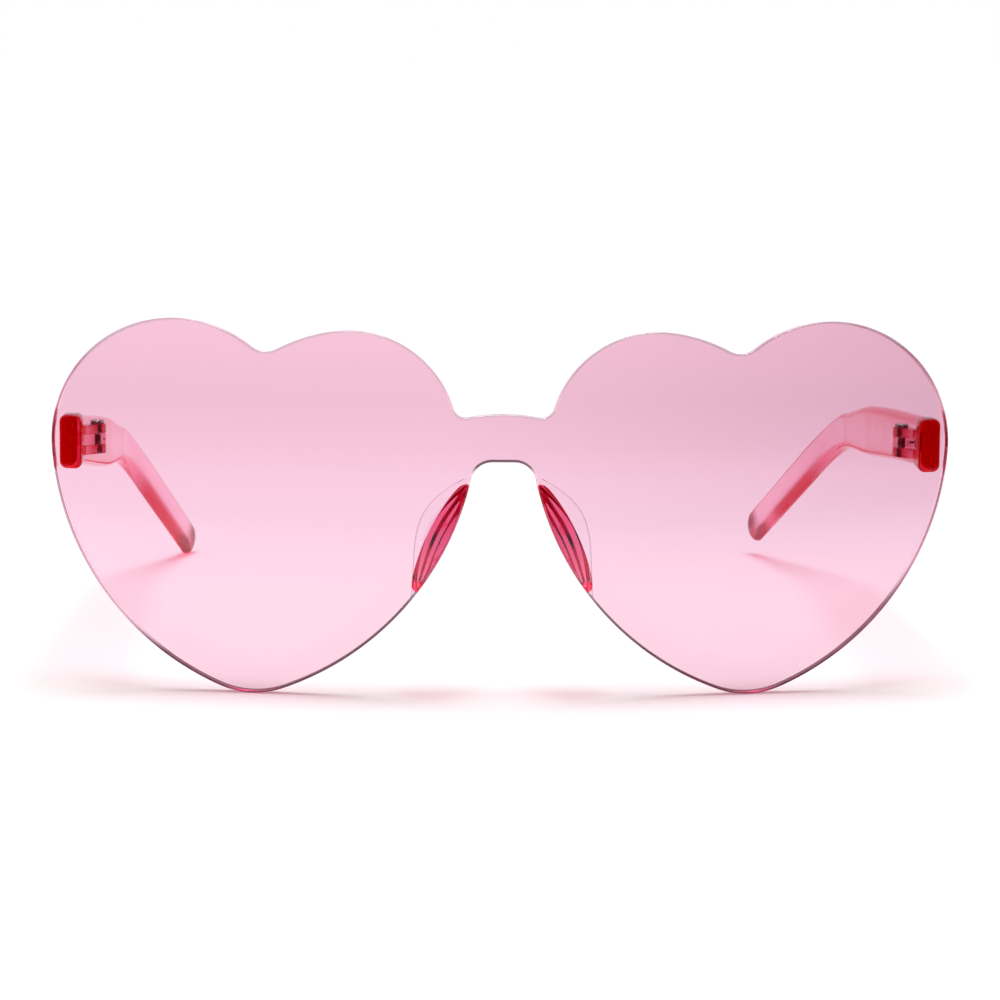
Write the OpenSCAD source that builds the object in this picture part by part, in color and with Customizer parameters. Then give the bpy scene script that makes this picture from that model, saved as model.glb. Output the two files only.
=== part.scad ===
// Heart shaped one-piece sunglasses with folding temples.
// The front is a single curved lens shield. End pieces and nose pads are bonded to its
// rear face, and each temple turns on a three-knuckle hinge with a slotted screw.
// Frame: +X to the right seen from the front, -Y is the front, +Z is up, Z = 0 is the table.
// "left" and "right" are as seen from the front.

/* [Lens shield] */
// Width of the front over both side edges
front_width = 150; // [142:1:158]
// Height of the shield from its lower tips to the tops of the outer lobes
lens_height = 62.4; // [60:0.2:66]
// Thickness of the moulded shield
lens_thickness = 2; // [1.6:0.1:2.6]
// Radius of the sphere that the front face lies on
face_radius = 265; // [220:5:340]

/* [Heart outline] */
// Radius of each outer lobe
outer_lobe_r = 20.7; // [19.5:0.1:22]
// Radius of each inner lobe, beside the bridge
inner_lobe_r = 17.9; // [17:0.1:19]
// Distance from the middle of the front to the centre of an inner lobe
inner_lobe_x = 25.3; // [24.5:0.1:26.5]
// How far the inner lobes stay below the outer ones
lobe_step = 1.5; // [0.5:0.1:2.5]
// Radius of the shoulder from the inner lobe to the notch
shoulder_r = 28; // [24:0.5:32]
// Direction, seen from the inner lobe, in which the shoulder starts
shoulder_angle = 83; // [78:1:86]
// Radius in the bottom of the heart's notch
notch_r = 4; // [2:0.5:6]
// Radius of the outer side between the lobe and the lower tip
side_r = 46; // [45:0.5:50]
// Radius of the rounded lower tip
tip_r = 14.5; // [12:0.5:16]
// Distance from the middle of the front to the centre of a lower tip
tip_x = 41.4; // [39:0.2:43]
// Radius of the side that faces the nose
nose_side_r = 50; // [47:1:54]
// Gap between the two nose sides where they would be closest
nose_gap = 8.2; // [7.6:0.2:10]

/* [Bridge] */
// Height of the bridge's lower edge over the lower tips
bridge_low = 39.6; // [38:0.2:41]
// Height of the bridge from its lower to its upper edge
bridge_depth = 7.9; // [6:0.1:9]
// Radius of the bridge's arched upper edge
bridge_r = 30; // [24:1:60]
// Radius of the corners between the bridge and the inner lobes
bridge_corner_r = 2; // [1:0.25:3]
// Radius of the upper corners of the nose cut-out
arch_corner_r = 3.5; // [2.5:0.25:4]

/* [Nose pads] */
// Height over the lower tips at which a pad ends at the top
pad_top = 35.6; // [34:0.2:36.4]
// Height over the lower tips at which a pad ends at the bottom
pad_bottom = 17.6; // [15:0.2:20]
// How far a pad's wall stands back from the shield
pad_reach = 7.4; // [5:0.2:9]
// How far the middle of the pad's rear rim leans away from the nose
pad_splay = 2.1; // [1.5:0.1:3]
// Width of a pad's wall at its foot, at the pad's middle
pad_foot = 3.6; // [3:0.1:4]
// Wall thickness of a pad at its rear rim
pad_rim = 1.5; // [1.2:0.1:2]
// Thickness of the flange that is bonded to the shield
flange_thickness = 0.5; // [0.4:0.1:1]
// Width of the flange at its middle
flange_width = 5.8; // [4.4:0.2:6.4]
// How far the flange runs past the pad's wall at each end
flange_end = 1.6; // [0.6:0.1:1.8]

/* [End pieces] */
// Height of the hinge line over the lower tips
hinge_z = 41.2; // [40:0.2:43]
// Width of an end piece's block
block_width = 3.8; // [3.4:0.1:4.4]
// Height of an end piece's block
block_height = 8.9; // [8:0.1:10]
// How far the block stays inside the shield's side edge
block_inset = 1.5; // [1.2:0.1:2]
// How far the block stands back from the shield, at its middle
block_reach = 4.1; // [3.6:0.1:5]
// Radius of the block's corners
block_corner_r = 1.2; // [0.6:0.1:1.6]

/* [Hinge] */
// Distance from the block's inner face to the screw's axis
knuckle_arm = 2; // [1.8:0.1:2.4]
// How far the screw's axis lies behind the face that stops the open temple
hinge_setback = 1.2; // [1:0.1:1.6]
// Outer radius of the knuckles
knuckle_r = 1.45; // [1.3:0.05:1.6]
// Height of each of the two knuckles on the end piece
outer_knuckle = 1.5; // [1.3:0.1:1.8]
// Height of the temple's knuckle
middle_knuckle = 1.7; // [1.5:0.1:2]
// Running gap above and below the temple's knuckle
knuckle_gap = 0.1; // [0.06:0.02:0.16]
// Radius of the screw's shank
shank_r = 0.6; // [0.5:0.02:0.7]
// Radial clearance of the shank in the bores that turn or pass it
bore_clearance = 0.03; // [0.02:0.01:0.06]
// Radius of the screw's head
head_r = 1.15; // [1:0.05:1.25]
// Height of the screw's head
head_height = 0.7; // [0.5:0.05:0.9]
// Width of the driver slot
slot_width = 0.35; // [0.25:0.05:0.45]
// Depth of the driver slot
slot_depth = 0.4; // [0.25:0.05:0.45]

/* [Temples] */
// Length of the shaft, from its front face to the knee of the ear bend
shaft_length = 96.5; // [85:0.5:102]
// How far the left shaft, whose tip rests on the table, falls over that length
shaft_fall = 13.4; // [10:0.1:14]
// Distance from the knee back to the middle of the rounded tip
ear_reach = 33.1; // [28:0.1:40]
// How far the ear part leads inward over that distance
ear_inset = 11.3; // [6:0.1:14]
// Length of the curve on either side of the knee
knee_length = 14; // [8:0.5:16]
// Thickness of the temple's shaft
temple_thickness = 3.4; // [3:0.1:3.8]
// Thickness of the temple at its tip
tip_thickness = 2.8; // [2.4:0.1:3.2]
// Radius of the temple's long edges
temple_edge_r = 1.4; // [0.8:0.1:1.45]
// Height of the temple at its front face
front_height = 8.4; // [7.6:0.1:9.4]
// Height of the shaft where it is deepest
belly_height = 9.3; // [8:0.1:9.8]
// Height of the temple at the knee
knee_height = 7; // [6.4:0.1:8.4]
// Height of the rounded tip
tip_height = 6.7; // [6:0.1:8]
// Gap between the temple's front face and its stop when the temple is open
stop_gap = 0.1; // [0.06:0.02:0.3]
// How far the temple's inner face stays outboard of the block's inner face
temple_offset = 0.6; // [0.4:0.1:0.9]

/* [Stance] */
// How far the right temple stands clear of the table from its knee on, while the left one rests
stance_lift = 3.2; // [0:0.1:4]
// How far the tips of both ear parts stand over to the left, seen from the front
stance_lean = 2; // [0:0.1:2.4]

/* [Hidden] */

// Steps along the outline and the rings, and the smoothness of round parts
outline_step = 1.6;
pad_steps = 16;
shaft_steps = 10;
knee_steps = 9;
ear_steps = 4;
cap_steps = 6;
corner_steps = 4;
$fn = 48;
sphere_sides = 240;
// One overrun serves all cuts
overrun = 1;

half_width = front_width / 2;
belly_share = 0.6;
// How far up the knuckle arm of the end piece starts, seen from above, as a share of the block
neck_share = 0.62;
// Where the cap's last ring lies, as a share of its quarter turn
cap_share = 0.94;
// Ends of a pad's wall: its least size there as a share of the middle, and how fast it grows
pad_end_share = 0.2;
pad_power_share = 0.6;
// Below 1, the flange is fullest above its middle
flange_skew_share = 0.8;
// How much of its taper the temple has behind the knee
knee_taper_share = 0.4;
// How much of the tip's lean the knee has, and how far the shaft arches up for its lift
knee_lean_share = 0.45;
arch_share = 0.5;

// Geometry helpers

// Angle of a direction in the plane
function heading(v) = atan2(v[1], v[0]);

// Unit vector of an angle
function unit(a) = [cos(a), sin(a)];

// Vector of length 1 along v
function along(v) = v / norm(v);

// Points on an arc, without its last point
function arc(c, r, from, to) =
    let (n = max(3, ceil(abs(to - from) * PI / 180 * r / outline_step)))
    [for (i = [0:n - 1]) c + r * unit(from + (to - from) * i / n)];

// Where circles about p and q with radii a and b meet, on the left of the line from p to q
function meet(p, a, q, b) =
    let (d = norm(q - p), u = (q - p) / d, s = (a * a - b * b + d * d) / (2 * d))
    p + s * u + sqrt(a * a - s * s) * [-u[1], u[0]];

// Centres of the outline's arcs, for the right half, as [x, z]

outer_lobe_c = [half_width - outer_lobe_r, lens_height - outer_lobe_r];
inner_lobe_c = [inner_lobe_x, lens_height - lobe_step - inner_lobe_r];
shoulder_c = inner_lobe_c - (shoulder_r - inner_lobe_r) * unit(shoulder_angle);
notch_c = meet(shoulder_c, shoulder_r + notch_r, outer_lobe_c, outer_lobe_r + notch_r);
tip_c = [tip_x, tip_r];
side_c = meet(tip_c, side_r - tip_r, outer_lobe_c, side_r - outer_lobe_r);
side_angle = heading(outer_lobe_c - side_c);
tip_angle = heading(tip_c - side_c);
nose_angle = acos((nose_gap / 2 + nose_side_r - tip_c[0]) / (nose_side_r - tip_r));
nose_c = tip_c + (nose_side_r - tip_r) * unit(nose_angle);
arch_z = bridge_low - arch_corner_r;
arch_c = [nose_c[0] - sqrt(pow(nose_side_r + arch_corner_r, 2) - pow(nose_c[1] - arch_z, 2)), arch_z];
bridge_c = [0, bridge_low + bridge_depth - bridge_r];
bridge_corner_c = meet(bridge_c, bridge_r + bridge_corner_r, inner_lobe_c, inner_lobe_r + bridge_corner_r);

// Right half of the outline, clockwise from the top of the bridge to the nose arch
half_outline = concat(
    arc(bridge_c, bridge_r, 90, heading(bridge_corner_c - bridge_c)),
    arc(bridge_corner_c, bridge_corner_r, heading(bridge_c - bridge_corner_c),
        heading(inner_lobe_c - bridge_corner_c)),
    arc(inner_lobe_c, inner_lobe_r, heading(bridge_corner_c - inner_lobe_c), shoulder_angle),
    arc(shoulder_c, shoulder_r, shoulder_angle, heading(notch_c - shoulder_c)),
    arc(notch_c, notch_r, heading(shoulder_c - notch_c), heading(outer_lobe_c - notch_c)),
    arc(outer_lobe_c, outer_lobe_r, heading(notch_c - outer_lobe_c), side_angle),
    arc(side_c, side_r, side_angle, tip_angle),
    arc(tip_c, tip_r, tip_angle, heading(tip_c - nose_c)),
    arc(nose_c, nose_side_r, heading(tip_c - nose_c), heading(arch_c - nose_c)),
    arc(arch_c, arch_corner_r, heading(nose_c - arch_c), 90),
    [[arch_c[0], bridge_low]]);

// Left half: the same points mirrored, in the other order, without the one on the middle
mirrored_outline = [for (i = [len(half_outline) - 1:-1:1]) [-half_outline[i][0], half_outline[i][1]]];

// Places that pieces share

middle_z = lens_height / 2;
rear_radius = face_radius - lens_thickness;

// How far the shield's rear face lies behind the front's foremost point at x, z
function rear_y(x, z) =
    face_radius - sqrt(rear_radius * rear_radius - x * x - pow(z - middle_z, 2));

block_out = half_width - block_inset;
block_in = block_out - block_width;
block_mid = (block_in + block_out) / 2;
stop_y = rear_y(block_mid, hinge_z) + block_reach;
hinge_x = block_in - knuckle_arm;
hinge_y = stop_y + hinge_setback;
stack_height = 2 * outer_knuckle + 2 * knuckle_gap + middle_knuckle;
stack_low = hinge_z - stack_height / 2;
stack_top = hinge_z + stack_height / 2;
reach_all = stop_y + overrun;

// Temple path: front face, knee and tip, for the right temple, as [x, y, z]. Knee and tip stand
// lift higher than they must, and the tip leads lean further inward than ear_inset says. The
// shaft arches a little where it is lifted.

temple_in = block_in + temple_offset;
temple_x = temple_in + temple_thickness / 2;
temple_front = [temple_x, stop_y + stop_gap, hinge_z];
temple_run = shaft_length + ear_reach;

function knee_at(lift, lean) =
    temple_front + [-lean * knee_lean_share, shaft_length, lift - shaft_fall];

function tip_at(lift, lean) =
    [temple_x - ear_inset - lean, temple_front[1] + temple_run, tip_height / 2 + lift];

// Sideways axis of a ring for a path direction, level and square to it
function side_axis(d) = along([d[1], -d[0], 0]);

// Smooth step from 0 to 1
function ease(t) = t * t * (3 - 2 * t);

// Height of the shaft at the share t of its length
function shaft_height(t) =
    t < belly_share
        ? front_height + (belly_height - front_height) * ease(t / belly_share)
        : belly_height + (knee_height - belly_height) * ease((t - belly_share) / (1 - belly_share));

// One ring of the temple: a rounded rectangle about c, square to d
function ring(c, d, height, thickness) =
    let (s = side_axis(d), u = cross(s, d), r = temple_edge_r * thickness / temple_thickness,
         a = thickness / 2 - r, b = height / 2 - r)
    [for (q = [0:3]) for (k = [0:corner_steps])
        let (v = unit(90 * (q + k / corner_steps)),
             px = (q == 0 || q == 3 ? a : -a) + r * v[0],
             pz = (q < 2 ? b : -b) + r * v[1])
        c + px * s + pz * u];

// All rings of a temple, from its front face to its rounded tip
function temple_rings(lift, lean) =
    let (knee = knee_at(lift, lean), tip_mid = tip_at(lift, lean),
         arch = (temple_front + knee) / 2 + [0, 0, arch_share * lift],
         knee_start = knee - knee_length * along(knee - arch),
         ear_dir = along(tip_mid - knee), knee_end = knee + knee_length * ear_dir,
         thinner = tip_thickness - temple_thickness)
    concat(
        [for (i = [0:shaft_steps])
            let (t = i / shaft_steps,
                 c = (1 - t) * (1 - t) * temple_front + 2 * t * (1 - t) * arch + t * t * knee_start,
                 d = along((1 - t) * (arch - temple_front) + t * (knee_start - arch)))
            ring(c, along([0, 1 - t, 0] + t * d), shaft_height(t), temple_thickness)],
        [for (i = [1:knee_steps])
            let (t = i / knee_steps,
                 c = (1 - t) * (1 - t) * knee_start + 2 * t * (1 - t) * knee + t * t * knee_end,
                 d = along((1 - t) * (knee - knee_start) + t * (knee_end - knee)))
            ring(c, d, knee_height, temple_thickness + knee_taper_share * ease(t) * thinner)],
        [for (i = [1:ear_steps])
            let (t = i / ear_steps)
            ring(knee_end + t * (tip_mid - knee_end), ear_dir,
                 knee_height + (tip_height - knee_height) * ease(t),
                 temple_thickness + (knee_taper_share + (1 - knee_taper_share) * t) * thinner)],
        [for (i = [1:cap_steps])
            let (a = 90 * cap_share * i / cap_steps)
            ring(tip_mid + tip_height / 2 * sin(a) * ear_dir, ear_dir,
                 tip_height * cos(a), tip_thickness * cos(a))]);

left_rings = temple_rings(0, -stance_lean);
right_rings = temple_rings(stance_lift, stance_lean);

// Depth over all, from the front's foremost point to the rearmost point of the tips
depth = max([for (g = concat(left_rings, right_rings)) for (p = g) p[1]]);

// Solids shared by several pieces

// Closed solid through a list of rings that all have the same number of points
module loft(rings) {
    n = len(rings[0]);
    m = len(rings);
    skin = [for (i = [0:m - 2]) for (k = [0:n - 1])
        let (a = i * n + k, b = i * n + (k + 1) % n)
        each [[a, b, b + n], [a, b + n, a + n]]];
    front = [for (k = [1:n - 2]) [0, k + 1, k]];
    back = [for (k = [1:n - 2]) [(m - 1) * n, (m - 1) * n + k, (m - 1) * n + k + 1]];
    polyhedron(points = [for (g = rings) each g], faces = concat(skin, front, back));
}

// Ball whose surface is the rear face of the shield, or lies a depth behind it
module rear_ball(behind = 0) {
    translate([0, face_radius, middle_z])
        sphere(r = rear_radius - behind, $fn = sphere_sides);
}

// Straight prism along Y over a shape in the X-Z plane, up to the stop face
module prism() {
    translate([0, reach_all, 0])
        rotate([90, 0, 0])
            linear_extrude(height = reach_all + overrun)
                children();
}

// Cone towards the centre of the faces over a shape in the X-Z plane about that centre, so that
// what it cuts out of the shield has rims that stand square to the faces
module cone() {
    translate([0, reach_all, middle_z])
        rotate([90, 0, 0])
            linear_extrude(height = reach_all + overrun,
                           scale = (face_radius + overrun) / (face_radius - reach_all))
                children();
}

// Point of the outline on the front face, brought along its radius to the cone's small end
function cone_point(p) =
    let (q = p - [0, middle_z])
    q * (face_radius - reach_all) / sqrt(face_radius * face_radius - q * q);

// Puts what is drawn for the right side at its place, and mirrors it for the left
module place(left = false) {
    translate([0, -depth / 2, 0])
        mirror([left ? 1 : 0, 0, 0])
            children();
}

// Lens shield

module lens_shield() {
    color("pink", 0.6)
        translate([0, -depth / 2, 0])
            intersection() {
                cone()
                    polygon([for (p = concat(half_outline, mirrored_outline)) cone_point(p)]);
                difference() {
                    translate([0, face_radius, middle_z])
                        sphere(r = face_radius, $fn = sphere_sides);
                    rear_ball();
                }
            }
}

// End pieces: a block behind the shield with two of the hinge's knuckles

// Plan of a knuckle and its arm, rooted in a piece from face_x to face_x + root
module knuckle_plan(face_x, root, low, high) {
    hull() {
        translate([hinge_x, hinge_y])
            circle(r = knuckle_r);
        translate([face_x, low])
            square([root, high - low]);
    }
}

module end_piece_solid() {
    neck_low = stop_y - block_reach * neck_share;
    difference() {
        union() {
            intersection() {
                translate([0, stop_y, 0])
                    rotate([90, 0, 0])
                        linear_extrude(height = stop_y)
                            translate([block_mid, hinge_z])
                                offset(r = block_corner_r)
                                    square([block_width - 2 * block_corner_r,
                                            block_height - 2 * block_corner_r], center = true);
                rear_ball();
            }
            for (low = [stack_low, stack_top - outer_knuckle])
                translate([0, 0, low])
                    linear_extrude(height = outer_knuckle)
                        knuckle_plan(block_in, temple_offset / 2, neck_low, stop_y);
        }
        // Tapped in the lower knuckle, free in the upper one
        translate([hinge_x, hinge_y, stack_low - overrun])
            cylinder(r = shank_r, h = stack_height + 2 * overrun);
        translate([hinge_x, hinge_y, hinge_z])
            cylinder(r = shank_r + bore_clearance, h = stack_height);
    }
}

module end_piece_left() {
    color("crimson", 0.8) place(left = true) end_piece_solid();
}

module end_piece_right() {
    color("crimson", 0.8) place() end_piece_solid();
}

// Nose pads: a bonded flange with a wall that leans away from the nose

// Direction of the nose side's arc at height z, seen from the arc's centre
function nose_dir(z) = 180 + asin((nose_c[1] - z) / nose_side_r);

// Point of the nose side at angle a, moved into the shield by w
function nose_point(a, w) = nose_c + (nose_side_r - w) * unit(a);

wall_from = nose_dir(pad_top);
wall_to = nose_dir(pad_bottom);
flange_turn = flange_end / nose_side_r * 180 / PI;
flange_from = wall_from - flange_turn;
flange_to = wall_to + flange_turn;

flange_outline = concat(
    [for (i = [0:pad_steps]) nose_point(flange_from + (flange_to - flange_from) * i / pad_steps, 0)],
    [for (i = [pad_steps - 1:-1:1])
        nose_point(flange_from + (flange_to - flange_from) * i / pad_steps,
                   flange_width * sin(180 * pow(i / pad_steps, flange_skew_share)))]);

// One section of the wall at the share t of its length: foot on the flange, round rim behind
function pad_ring(t) =
    let (a = wall_from + (wall_to - wall_from) * t,
         swell = sin(180 * t),
         full = pow(swell, pad_power_share),
         reach = pad_reach * (pad_end_share + (1 - pad_end_share) * full),
         lean = pad_splay * swell,
         foot = pad_foot * (pad_end_share + (1 - pad_end_share) * full),
         rim = pad_rim * (pad_end_share + (1 - pad_end_share) * full),
         inner = nose_point(a, 0),
         base = rear_y(inner[0], inner[1]) + flange_thickness / 2,
         profile = concat(
             [[foot, 0]],
             [for (k = [0:corner_steps * 2])
                 let (v = unit(90 * k / corner_steps))
                 [lean + rim / 2 + rim / 2 * v[0], reach - rim / 2 + rim / 2 * v[1]]],
             [[0, 0]]))
    [for (p = profile)
        let (q = nose_point(a, p[0]))
        [q[0], base + p[1], q[1]]];

pad_rings = [for (i = [0:pad_steps]) pad_ring(i / pad_steps)];

module nose_pad_solid() {
    intersection() {
        prism()
            polygon(flange_outline);
        difference() {
            rear_ball();
            rear_ball(flange_thickness);
        }
    }
    loft(pad_rings);
}

module nose_pad_left() {
    color("hotpink", 0.8) place(left = true) nose_pad_solid();
}

module nose_pad_right() {
    color("hotpink", 0.8) place() nose_pad_solid();
}

// Temples: a shaft with the hinge's middle knuckle, a knee and an ear part

module temple_solid(rings) {
    knuckle_low = hinge_z - middle_knuckle / 2;
    difference() {
        union() {
            loft(rings);
            translate([0, 0, knuckle_low])
                linear_extrude(height = middle_knuckle)
                    knuckle_plan(temple_in, temple_thickness / 2,
                                 hinge_y - knuckle_r / 2, hinge_y + 2 * knuckle_r);
        }
        translate([hinge_x, hinge_y, knuckle_low - overrun])
            cylinder(r = shank_r + bore_clearance, h = middle_knuckle + 2 * overrun);
    }
}

module temple_left() {
    color("lightpink", 0.8) place(left = true) temple_solid(left_rings);
}

module temple_right() {
    color("lightpink", 0.8) place() temple_solid(right_rings);
}

// Hinge screws, with their heads on top

module hinge_screw_solid() {
    difference() {
        translate([hinge_x, hinge_y, 0]) {
            translate([0, 0, stack_low])
                cylinder(r = shank_r, h = stack_height + head_height / 2);
            translate([0, 0, stack_top])
                cylinder(r = head_r, h = head_height);
        }
        translate([hinge_x - slot_width / 2, hinge_y - head_r - overrun,
                   stack_top + head_height - slot_depth])
            cube([slot_width, 2 * (head_r + overrun), slot_depth + overrun]);
    }
}

module hinge_screw_left() {
    color("silver") place(left = true) hinge_screw_solid();
}

module hinge_screw_right() {
    color("silver") place() hinge_screw_solid();
}

lens_shield();
end_piece_left();
end_piece_right();
nose_pad_left();
nose_pad_right();
temple_left();
temple_right();
hinge_screw_left();
hinge_screw_right();
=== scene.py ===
import math
import bpy
import bmesh
import numpy as np
from mathutils import Matrix, Vector, geometry


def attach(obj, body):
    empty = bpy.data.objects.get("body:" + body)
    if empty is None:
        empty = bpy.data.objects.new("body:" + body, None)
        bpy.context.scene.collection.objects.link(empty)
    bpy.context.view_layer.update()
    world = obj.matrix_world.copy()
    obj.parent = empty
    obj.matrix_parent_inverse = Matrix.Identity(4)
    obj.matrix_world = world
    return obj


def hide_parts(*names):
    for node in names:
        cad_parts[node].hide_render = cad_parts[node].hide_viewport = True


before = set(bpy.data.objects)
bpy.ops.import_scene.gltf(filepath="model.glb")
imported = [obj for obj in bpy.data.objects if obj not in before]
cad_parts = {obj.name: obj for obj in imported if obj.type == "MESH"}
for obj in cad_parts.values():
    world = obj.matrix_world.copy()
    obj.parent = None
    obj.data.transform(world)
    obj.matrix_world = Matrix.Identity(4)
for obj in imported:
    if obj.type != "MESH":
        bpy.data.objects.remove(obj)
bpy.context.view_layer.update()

# Camera, where the photograph was taken from

YAW, PITCH, ROLL = math.radians(1.699), math.radians(8.476), math.radians(0.487)
CAMERA_AT, FOCAL_LENGTH, SENSOR_WIDTH = (-0.014911, -0.558660, 0.105623), 107.70, 36.0
cam_data = bpy.data.cameras.new("camera")
cam_data.lens = FOCAL_LENGTH
cam_data.sensor_width = SENSOR_WIDTH
cam_data.sensor_fit = "HORIZONTAL"
cam_data.clip_start = 0.01
cam = bpy.data.objects.new("camera", cam_data)
bpy.context.collection.objects.link(cam)
ahead = Vector((math.sin(YAW) * math.cos(PITCH), math.cos(YAW) * math.cos(PITCH), -math.sin(PITCH)))
level = Vector((math.cos(YAW), -math.sin(YAW), 0.0))
over = level.cross(ahead)
right = math.cos(ROLL) * level + math.sin(ROLL) * over
up = -math.sin(ROLL) * level + math.cos(ROLL) * over
turn = Matrix((right, up, -ahead)).transposed().to_4x4()
cam.matrix_world = Matrix.Translation(CAMERA_AT) @ turn
bpy.context.scene.camera = cam

# Sizes in mm, as in the part's source. Y is counted from the front's foremost point.

MM = 0.001
FRONT_WIDTH, LENS_HEIGHT, LENS_THICKNESS, FACE_RADIUS = 150.0, 62.4, 2.0, 265.0
OUTER_LOBE_R, INNER_LOBE_R, INNER_LOBE_X, LOBE_STEP = 20.7, 17.9, 25.3, 1.5
SHOULDER_R, SHOULDER_ANGLE, NOTCH_R = 28.0, 83.0, 4.0
SIDE_R, TIP_R, TIP_X, NOSE_SIDE_R, NOSE_GAP = 46.0, 14.5, 41.4, 50.0, 8.2
BRIDGE_LOW, BRIDGE_DEPTH, BRIDGE_R, BRIDGE_CORNER_R, ARCH_CORNER_R = 39.6, 7.9, 30.0, 2.0, 3.5
PAD_TOP, PAD_BOTTOM, PAD_REACH, PAD_SPLAY, PAD_FOOT, PAD_RIM = 35.6, 17.6, 7.4, 2.1, 3.6, 1.5
FLANGE_THICKNESS, FLANGE_WIDTH, FLANGE_END, FLANGE_SKEW = 0.5, 5.8, 1.6, 0.8
HINGE_Z, BLOCK_WIDTH, BLOCK_HEIGHT, BLOCK_INSET, BLOCK_REACH = 41.2, 3.8, 8.9, 1.5, 4.1
BLOCK_CORNER_R, KNUCKLE_ARM, HINGE_SETBACK, KNUCKLE_R = 1.2, 2.0, 1.2, 1.45
OUTER_KNUCKLE, MIDDLE_KNUCKLE, KNUCKLE_GAP, SHANK_R, BORE_CLEARANCE = 1.5, 1.7, 0.1, 0.6, 0.03
HEAD_R, HEAD_HEIGHT, SLOT_WIDTH, SLOT_DEPTH = 1.15, 0.7, 0.35, 0.4
SHAFT_LENGTH, SHAFT_FALL, EAR_REACH, EAR_INSET, KNEE_LENGTH = 96.5, 13.4, 33.1, 11.3, 14.0
TEMPLE_THICKNESS, TIP_THICKNESS, TEMPLE_EDGE_R = 3.4, 2.8, 1.4
FRONT_HEIGHT, BELLY_HEIGHT, KNEE_HEIGHT, TIP_HEIGHT = 8.4, 9.3, 7.0, 6.7
STOP_GAP, TEMPLE_OFFSET, STANCE_LIFT, STANCE_LEAN = 0.1, 0.6, 3.2, 2.0
NECK_SHARE, BELLY_SHARE, KNEE_TAPER_SHARE, KNEE_LEAN_SHARE, ARCH_SHARE = 0.62, 0.6, 0.4, 0.45, 0.5
PAD_END_SHARE, PAD_POWER_SHARE = 0.2, 0.6

# Sizes that only this model has: the shield's polished rim, the rounding of an end piece, the
# hairline that glue leaves between bonded pieces, and the bevel of a nose pad's bond

RIM_R, BLOCK_EDGE_R, GLUE, FILM_BEVEL = 0.4, 0.3, 0.02, 0.22

MIDDLE_Z = LENS_HEIGHT / 2
REAR_RADIUS = FACE_RADIUS - LENS_THICKNESS
# From the front's foremost point back to the frame's origin
HALF_DEPTH = 74.6085
BLOCK_OUT = FRONT_WIDTH / 2 - BLOCK_INSET
BLOCK_IN = BLOCK_OUT - BLOCK_WIDTH


def unit(a):
    return np.array([math.cos(math.radians(a)), math.sin(math.radians(a))])


def heading(v):
    return math.degrees(math.atan2(v[1], v[0]))


def along(v):
    v = np.asarray(v, float)
    return v / np.linalg.norm(v)


def meet(p, a, q, b):
    """Where circles of radius a round p and b round q meet, on the left of the way from p to q."""
    d = np.linalg.norm(q - p)
    u = (q - p) / d
    s = (a * a - b * b + d * d) / (2 * d)
    return p + s * u + math.sqrt(a * a - s * s) * np.array([-u[1], u[0]])


def arc(c, r, start, end, step):
    n = max(6, math.ceil(abs(math.radians(end - start)) * r / step))
    return [c + r * unit(start + (end - start) * i / n) for i in range(n)]


def rear_y(x, z):
    """Depth of the shield's rear face."""
    return FACE_RADIUS - math.sqrt(REAR_RADIUS * REAR_RADIUS - x * x - (z - MIDDLE_Z) ** 2)


outer_lobe_c = np.array([FRONT_WIDTH / 2 - OUTER_LOBE_R, LENS_HEIGHT - OUTER_LOBE_R])
inner_lobe_c = np.array([INNER_LOBE_X, LENS_HEIGHT - LOBE_STEP - INNER_LOBE_R])
shoulder_c = inner_lobe_c - (SHOULDER_R - INNER_LOBE_R) * unit(SHOULDER_ANGLE)
notch_c = meet(shoulder_c, SHOULDER_R + NOTCH_R, outer_lobe_c, OUTER_LOBE_R + NOTCH_R)
tip_c = np.array([TIP_X, TIP_R])
side_c = meet(tip_c, SIDE_R - TIP_R, outer_lobe_c, SIDE_R - OUTER_LOBE_R)
nose_angle = math.degrees(math.acos((NOSE_GAP / 2 + NOSE_SIDE_R - tip_c[0]) / (NOSE_SIDE_R - TIP_R)))
nose_c = tip_c + (NOSE_SIDE_R - TIP_R) * unit(nose_angle)
arch_z = BRIDGE_LOW - ARCH_CORNER_R
arch_c = np.array([nose_c[0] - math.sqrt((NOSE_SIDE_R + ARCH_CORNER_R) ** 2 - (nose_c[1] - arch_z) ** 2), arch_z])
bridge_c = np.array([0, BRIDGE_LOW + BRIDGE_DEPTH - BRIDGE_R])
bridge_corner_c = meet(bridge_c, BRIDGE_R + BRIDGE_CORNER_R, inner_lobe_c, INNER_LOBE_R + BRIDGE_CORNER_R)


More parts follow.
